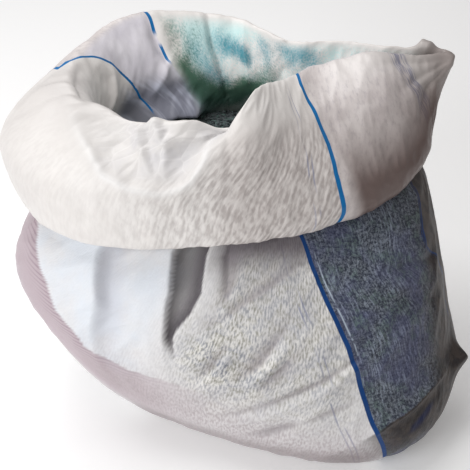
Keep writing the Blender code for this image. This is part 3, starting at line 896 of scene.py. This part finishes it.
def wall_cloth(columns, rows, crumple):
    """The spline through the wall's loops, moved along its normals: its folds, deep fold and creases."""
    cloth = Cloth(WALL_LOOPS, WALL_TOP, columns, rows, -1)
    depth = np.interp(cloth.levels, (3.1, 3.5, 4.2, 4.7, 5.4), (0.002, 0.008, 0.013, 0.016, 0.016))[:, None]
    deep = depth * cloth.between_paths(DEEP_RIGHT, DEEP_LEFT, 0.003) * cloth.between_levels(3.1, 9, 0.2)
    small = 0.0007 * creases(random_field(cloth, (0.045, 0.07), 3, 0.5))
    small = small + 0.0002 * creases(random_field(cloth, (0.016, 0.03), 4, 0.3))
    free = cloth.between_levels(0.9, 9.0, 0.8)
    cloth.moved((cloth.folded(WALL_FOLDS) - deep + small * crumple) * free)
    cloth.points[:, :, 2] = np.maximum(cloth.points[:, :, 2], 0.0)
    return cloth


def wall_masks(cloth):
    """Where the wall has painted shade and light, a dark blue patch, or lets the fill show."""
    levels, shares, beside = cloth.between_levels, cloth.between_shares, cloth.beside
    front = shares(0.125, 0.27, 0.05) * levels(2.45, 4.9, 1.5)
    pressed = beside(((0.255, 3.7, 0.5), (0.25, 3.3), (0.225, 3.0, 0.8)), 0.03)
    # Painted light: a strip beside the deep fold where less of the fill is shown.
    bright = beside(((0.265, 4.5, 0.6), (0.262, 4.0, 0.9), (0.262, 3.7, 0.6)), 0.01)
    inside = cloth.between_paths(DEEP_RIGHT, DEEP_LEFT, 0.0018) * levels(3.12, 9, 0.1)
    # The lit patch of the strip, where the threads' painted glints are strongest.
    lit = beside(((0.118, 5.0, 0.7), (0.112, 4.4), (0.105, 3.9), (0.1, 3.2, 0.5)), (0.045, 0.03))
    # Painted shade on the right side, strongest just past the right stripe.
    far_right = shares(-0.032, 0.044, 0.04) * 0.95 + shares(-0.03, 0.085, 0.1) * 0.22
    # Where painted shade falls along the foot of the front.
    mauve = ((0.336, 2.4), (0.26, 2.15), (0.18, 1.85), (0.11, 1.6))
    # The hollow beside the upright fold on the left, where painted shade falls.
    grey = ((0.336, 2.8, 0.3), (0.348, 3.8), (0.382, 4.6), (0.388, 5.2))
    blue = ((0.072, 2.11, 0.8), (0.063, 2.23), (0.056, 2.32, 0.8))
    # The gap under the turned-under hem, where a painted shadow lies.
    hem_gap_shadow = ((0.0765, 2.04, 0.5), (0.067, 2.2), (0.056, 2.36), (0.04, 2.38, 0.6))
    return {
        "fill_shows": np.clip(0.72 * front + 0.33 * pressed - 0.5 * bright, 0, 1),
        # Painted shadow under the roll's lower edge.
        "under": shares(0.165, 0.278, 0.03) * levels(4.6, 9, 0.45),
        # Painted shade in the grooves of the folds, as deep as they are.
        "crease": np.clip(-cloth.folded(WALL_FOLDS) / 0.003, 0, 1) * shares(0.1, 0.32, 0.04),
        # Painted bluish light on the left of the front.
        "cool_light": shares(0.3, 0.455, 0.03) * levels(2.7, 5.3, 0.6),
        # Painted shade on the underside past the turned-in edge, and where its ribs show.
        "underside_shade": beside(TURNED_EDGE, (0.075, 0.002), 6.0),
        "ribs": beside(TURNED_EDGE, (0.014, 0.002)),
        "mauve": beside(mauve, 0.034),
        # Painted shade at the foot of the front, against the ground.
        "rim": levels(-1.0, 1.75, 0.5) * shares(0.1, 0.34, 0.04),
        "grey": beside(grey, (0.02, 0.004), 2.5),
        # Painted shade on the right side and under the turned-under hem.
        "side_and_hem_shade": np.clip(far_right + 0.9 * beside(HEM_EDGE, (0.05, 0.002), 6.0), 0, 0.95),
        "blue": beside(blue, (0.006, 0.004), 2.5),
        "hem_gap_shadow": beside(hem_gap_shadow, 0.003),
        "clear": 0.3 + 0.7 * lit,
        "glint": levels(3.35, 4.6, 0.5),
        # Painted shade inside the deep fold, darker along its right-hand side.
        "shade": 0.8 * inside,
        "fold_right_shade": inside * beside(DEEP_RIGHT[1:], 0.012),
    }


def make_wall(settings):
    """The wall, and its base in rings from the middle of the seat out to its edge."""
    cloth = wall_cloth(settings.columns, settings.rows, settings.crumple)
    rings = settings.base_rings
    seat = cloth.points[0]
    middle = seat.mean(axis=0)
    base = np.array([middle + (seat - middle) * ring / rings for ring in range(1, rings)])
    uv = cloth_coordinates(cloth, WALL_STRIPES)
    under = np.repeat(uv[:1], rings - 1, axis=0)
    under[:, :, 1] -= SEAT_REACH * (1 - np.arange(1, rings) / rings)[:, None]
    bare = np.zeros(base.shape[:2])
    full = np.ones(cloth.points.shape[:2])
    masks = {name: np.concatenate([bare, mask * full]) for name, mask in wall_masks(cloth).items()}
    points, uv = np.concatenate([base, cloth.points]), np.concatenate([under, uv])
    return grid_mesh("sack_wall", points, uv, flip=True, pole=middle, masks=masks)


def roll_cloth(columns, rows, crumple):
    """The spline through the roll's loops, moved along its normals: its folds and creases."""
    cloth = Cloth(ROLL_LOOPS, ROLL_TOP, columns, rows, 1)
    small = 0.0007 * creases(random_field(cloth, (0.05, 0.07), 5, -0.6))
    small = small + 0.0003 * creases(random_field(cloth, (0.018, 0.028), 6, -0.4))
    cloth.moved(cloth.folded(ROLL_FOLDS) + small * crumple)
    return cloth


def roll_masks(cloth):
    """Where the roll is smooth, printed, or has painted shade and highlights."""
    levels, shares, beside = cloth.between_levels, cloth.between_shares, cloth.beside
    dip = beside(DIP_FLOOR, 0.04, 5.0)
    plain = 1 - 0.8 * shares(0.335, 0.62, 0.08)
    low_right = shares(0.02, 0.155, 0.02) * levels(4.6, 9, 1.6)
    corner = beside(((0.0, 3.2), (0.0, 4.8)), (0.062, 0.045))
    gap = levels(-1.0, 2.25, 0.1) + levels(2.5, 2.66, 0.08)
    bare = 0.5 * beside(((0.738, 2.28), (0.766, 2.02)), 0.01)
    return {
        "woven": (1 - dip) * plain * levels(4.25, 9, 0.8),
        "inside": levels(-1.0, 3.05, 0.3),
        "dip": dip * levels(3.2, 9.0, 0.6),
        # Painted highlight along the rim of the dip.
        "brow": beside(DIP_RIM, (0.004, 0.0025)),
        # The film's own greyish tone, with painted highlights on its crinkles' edges.
        "film": beside(FILM, 0.029, 3.0) * levels(3.1, 5.0, 0.3),
        "print": levels(-1.0, 2.88, 0.4) * cloth.between_paths(PRINT_START, PRINT_END, 0.02),
        # Painted shade on the flap lying on the fill.
        "flap_shade": levels(-1.0, 2.05, 0.5) * shares(0.575, 0.716, 0.03),
        # Painted light on the crest above the right strip.
        "pale": levels(2.9, 3.7, 0.6) * shares(0.045, 0.125, 0.04),
        "teal": sum(beside(mark, 0.015) for mark in TEAL_MARKS) - bare,
        "green": sum(beside(mark, 0.02) for mark in GREEN_MARKS) - bare,
        # Painted shade deep in the mouth, lower down.
        "deep": levels(-1.0, 1.9, 1.2),
        "striped": 1 - np.clip(gap, 0, 1) * shares(0.628, 0.72, 0.006),
        # Painted shade on the lower front of the roll.
        "tan": shares(0.15, 0.275, 0.05) * levels(3.9, 6.5, 0.8),
        # Painted shade on the left of the crest and down the left side.
        "crest_shade": np.clip(beside(CREST_SHADE_PATH, 0.028) + beside(SIDE_SHADE_PATH, 0.03), 0, 1),
        "shade": np.clip(0.95 * low_right + 0.76 * corner, 0, 1),
    }


def make_roll(settings):
    """The roll, from its hidden edge below the fill, over the crest and back up inside itself."""
    cloth = roll_cloth(settings.columns, settings.rows, settings.crumple)
    uv = cloth_coordinates(cloth, ROLL_STRIPES)
    return grid_mesh("rolled_mouth", cloth.points, uv, masks=roll_masks(cloth))


TOP_RINGS = 60
TOP_COLUMNS = 180
BRIM_SHARE = 0.965


def fill_top(height):
    """Rings of the fill's top, from its brim against the lining to its middle: a low mound."""
    brim = loop_points(ROOT, column_shares(TOP_COLUMNS)) - FOOTPRINT_CENTRE
    middle = brim.mean(axis=0)
    brim = middle + (brim - middle) * BRIM_SHARE
    inward = (np.arange(TOP_RINGS) / TOP_RINGS)[:, None, None]
    top = middle + (brim - middle) * (1 - inward)
    top[:, :, 2] += height * smooth_step(inward[:, :, 0])
    return top


# The fill keeps these metres inside the wall's outer face and above the ground, up to this level of it.
FILL_INSET = 0.0045
FILL_BOTTOM = 0.002
FILL_LEVEL = 5.6


def make_cement(fill):
    """The fill: just inside the wall, and a mound with a granular top."""
    cloth = wall_cloth(TOP_COLUMNS, rows=60, crumple=0.0)
    cloth.moved(np.full(cloth.points.shape[:2], -FILL_INSET))
    body = cloth.points[cloth.levels < FILL_LEVEL]
    body[:, :, 2] = np.maximum(body[:, :, 2], FILL_BOTTOM)
    top = fill_top(fill.mound)
    top[:, :, 2] += np.random.default_rng(8).standard_normal(top.shape[:2]) * 0.0007
    points = np.concatenate([body, top])
    return grid_mesh("cement", points, flip=True, pole=body[0].mean(axis=0), far_pole=top[-1].mean(axis=0))


# The twelve corners of an icosahedron, and the corners of its twenty faces.
GOLDEN = (1 + math.sqrt(5)) / 2
CORNERS = np.array([(-1, GOLDEN, 0), (1, GOLDEN, 0), (-1, -GOLDEN, 0), (1, -GOLDEN, 0)])
CORNERS = np.concatenate([np.roll(CORNERS, turn, axis=1) for turn in range(3)])
SIDES = (
    (0, 11, 5), (0, 5, 1), (0, 1, 7), (0, 7, 10), (0, 10, 11), (1, 5, 9), (5, 11, 4), (11, 10, 2), (10, 7, 6),
    (7, 1, 8), (3, 9, 4), (3, 4, 2), (3, 2, 6), (3, 6, 8), (3, 8, 9), (4, 9, 5), (2, 4, 11), (6, 2, 10),
    (8, 6, 7), (9, 8, 1),
)


def make_grains(fill):
    """Loose granules on the fill: icosahedra of random sizes with their corners out or in, half sunk."""
    rng = np.random.default_rng(12)
    top = fill_top(fill.mound)
    ring = (TOP_RINGS * (1 - np.sqrt(rng.random(fill.grains)))).astype(int)
    seat = top[ring, rng.integers(0, TOP_COLUMNS, fill.grains)]
    seat = seat + rng.normal(0, 0.0012, (fill.grains, 3)) * (1, 1, 0.3)
    size = rng.uniform(0.0008, 0.0026, (fill.grains, 1, 1))
    squeeze = rng.uniform(0.6, 1.2, (fill.grains, len(CORNERS), 1))
    vertices = seat[:, None] + CORNERS / np.linalg.norm(CORNERS[0]) * size * squeeze
    faces = np.array(SIDES) + len(CORNERS) * np.arange(fill.grains)[:, None, None]
    mesh = bpy.data.meshes.new("cement_grains")
    mesh.from_pydata(vertices.reshape(-1, 3).tolist(), [], faces.reshape(-1, 3).tolist())
    return mesh


def colour_setting(name, about, *default):
    """A colour that can be set in the panel."""
    return FloatVectorProperty(name=name, description=about, default=(*default, 1.0), size=4, subtype="COLOR")


def length_setting(name, about, default):
    """A length in metres that can be set in the panel."""
    return FloatProperty(name=name, description=about, default=default, precision=4, unit="LENGTH")


class ClothSettings(bpy.types.PropertyGroup):
    """Sizes and colours of the cloth."""

    columns: IntProperty(name="Columns", description="Faces round the sack", default=520, min=64, max=800)
    rows: IntProperty(name="Rows", description="Faces along each piece", default=180, min=40, max=300)
    base_rings: IntProperty(
        name="Base rings", description="Faces from the middle of the base out", default=8, min=2, max=30
    )
    pitch: length_setting("Pitch", "Of the strokes that the woven tapes make on the roll", 0.005)
    stripe_width: length_setting("Stripe width", "Of the blue stripes", 0.0046)
    crumple: FloatProperty(
        name="Crumple", description="Strength of the creases", default=1.0, subtype="FACTOR", min=0, max=3
    )
    white: colour_setting("White", "Of the outer face", 0.82, 0.81, 0.815)
    lining: colour_setting("Lining", "Of the inner face", 0.84, 0.81, 0.785)
    # One blue for the stripes, as a painted-shade copy on the wall and a painted-light copy on the roll.
    stripe: colour_setting("Stripe", "Blue of the stripes on the wall", 0.0, 0.045, 0.19)
    lit_stripe: colour_setting("Bright stripe", "Blue of the stripes on the roll", 0.0, 0.155, 0.42)
    slate: colour_setting("Slate", "Dark fill seen through the clear strips", 0.026, 0.034, 0.052)


class FillSettings(bpy.types.PropertyGroup):
    """The cement in the sack."""

    colour: colour_setting("Colour", "Of most granules", 0.028, 0.035, 0.038)
    mound: length_setting("Mound", "Height of its middle over its brim", 0.013)
    grains: IntProperty(name="Grains", description="Loose granules on top", default=3000, min=0, max=8000)


class StageSettings(bpy.types.PropertyGroup):
    """Floor, light and camera."""

    floor: colour_setting("Floor", "Colour of the floor", 0.95, 0.95, 0.95)
    glow: FloatProperty(
        name="Glow", description="Light that the floor itself gives, as a light table does", default=0.16
    )
    key_power: FloatProperty(
        name="Key light", description="Power of the large light on the left", default=15.5, unit="POWER"
    )
    top_power: FloatProperty(
        name="Top light", description="Power of the large light overhead", default=11.4, unit="POWER"
    )
    sky: FloatProperty(name="Sky", description="Strength of the even light from all round", default=0.32)


class SACK_OT_wall(bpy.types.Operator):
    """Makes the standing wall and base of the sack"""

    bl_idname = "sack.wall"
    bl_label = "Sack wall"

    def execute(self, context):
        settings = context.scene.sack_cloth
        piece = shown("sack_wall", make_wall(settings), wall_material(settings))
        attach(piece, "root")
        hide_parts("sack")
        return {"FINISHED"}


class SACK_OT_rolled_mouth(bpy.types.Operator):
    """Makes the mouth, rolled outward over the neck"""

    bl_idname = "sack.rolled_mouth"
    bl_label = "Rolled mouth"

    def execute(self, context):
        settings = context.scene.sack_cloth
        piece = shown("rolled_mouth", make_roll(settings), roll_material(settings))
        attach(piece, "root")
        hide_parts("sack")
        return {"FINISHED"}


class SACK_OT_cement(bpy.types.Operator):
    """Makes the cement that fills the sack, and the loose granules on it"""

    bl_idname = "sack.cement"
    bl_label = "Cement"

    def execute(self, context):
        fill = context.scene.sack_fill
        material = cement_material(fill)
        for name, mesh in (("cement", make_cement(fill)), ("cement_grains", make_grains(fill))):
            piece = shown(name, mesh, material)
            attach(piece, "root")
            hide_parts("cement_fill")
        return {"FINISHED"}


CAMERA_ELEVATION = 38.0
CAMERA_DISTANCE = 1.081
CAMERA_LENS = 88.0
CAMERA_TARGET = (-0.00277, -0.02006, 0.1711)
LIGHTS_AIM = (0.0, 0.0, 0.15)


def area_light(name, place, power, size):
    """A square light that points at the sack."""
    light = bpy.data.lights.new(name, "AREA")
    light.energy = power
    light.size = size
    lamp = bpy.data.objects.new(name, light)
    lamp.location = place
    lamp.rotation_euler = (Vector(LIGHTS_AIM) - Vector(place)).to_track_quat("-Z", "Y").to_euler()
    bpy.context.scene.collection.objects.link(lamp)
    return lamp


class SACK_OT_stage(bpy.types.Operator):
    """Makes the floor, the lights and the camera"""

    bl_idname = "sack.stage"
    bl_label = "Stage"

    def execute(self, context):
        stage = context.scene.sack_stage
        scene = context.scene
        scene.view_settings.view_transform = "Standard"
        mesh = bpy.data.meshes.new("floor")
        mesh.from_pydata([(-6, -6, 0), (6, -6, 0), (6, 6, 0), (-6, 6, 0)], [], [(0, 1, 2, 3)])
        shown("floor", mesh, floor_material(stage))
        world = bpy.data.worlds.new("even_light")
        world.use_nodes = True
        world.node_tree.nodes["Background"].inputs["Strength"].default_value = stage.sky
        world.node_tree.nodes["Background"].inputs["Color"].default_value = (1.0, 0.97, 0.96, 1.0)
        scene.world = world
        key = area_light("key", (-1.2, -1.2, 0.9), stage.key_power, 1.0)
        key.data.color = (0.98, 0.99, 1.0)
        area_light("top", (-0.45, 0.35, 1.45), stage.top_power, 1.0)
        camera = bpy.data.objects.new("camera", bpy.data.cameras.new("camera"))
        camera.data.lens = CAMERA_LENS
        scene.collection.objects.link(camera)
        tilt = math.radians(CAMERA_ELEVATION)
        away = np.array([0.0, -math.cos(tilt), math.sin(tilt)])
        camera.location = np.array(CAMERA_TARGET) + CAMERA_DISTANCE * away
        camera.rotation_euler = (math.pi / 2 - tilt, 0.0, 0.0)
        scene.camera = camera
        return {"FINISHED"}


OPERATORS = (SACK_OT_wall, SACK_OT_rolled_mouth, SACK_OT_cement, SACK_OT_stage)


class SACK_PT_panel(bpy.types.Panel):
    """Lists the steps that build the sack"""

    bl_label = "Cement sack"
    bl_idname = "SACK_PT_panel"
    bl_space_type = "VIEW_3D"
    bl_region_type = "UI"
    bl_category = "Sack"

    def draw(self, context):
        for settings in (context.scene.sack_cloth, context.scene.sack_fill, context.scene.sack_stage):
            box = self.layout.box()
            for name in settings.__annotations__:
                box.prop(settings, name)
        for operator in OPERATORS:
            self.layout.operator(operator.bl_idname)


GROUPS = {"sack_cloth": ClothSettings, "sack_fill": FillSettings, "sack_stage": StageSettings}


def register():
    for made in (*GROUPS.values(), *OPERATORS, SACK_PT_panel):
        bpy.utils.register_class(made)
    for name, group in GROUPS.items():
        setattr(bpy.types.Scene, name, PointerProperty(type=group))


def unregister():
    for name in GROUPS:
        delattr(bpy.types.Scene, name)
    for made in reversed((*GROUPS.values(), *OPERATORS, SACK_PT_panel)):
        bpy.utils.unregister_class(made)


def main():
    register()
    bpy.ops.sack.wall()
    bpy.ops.sack.rolled_mouth()
    bpy.ops.sack.cement()
    bpy.ops.sack.stage()


if __name__ == "__main__":
    main()
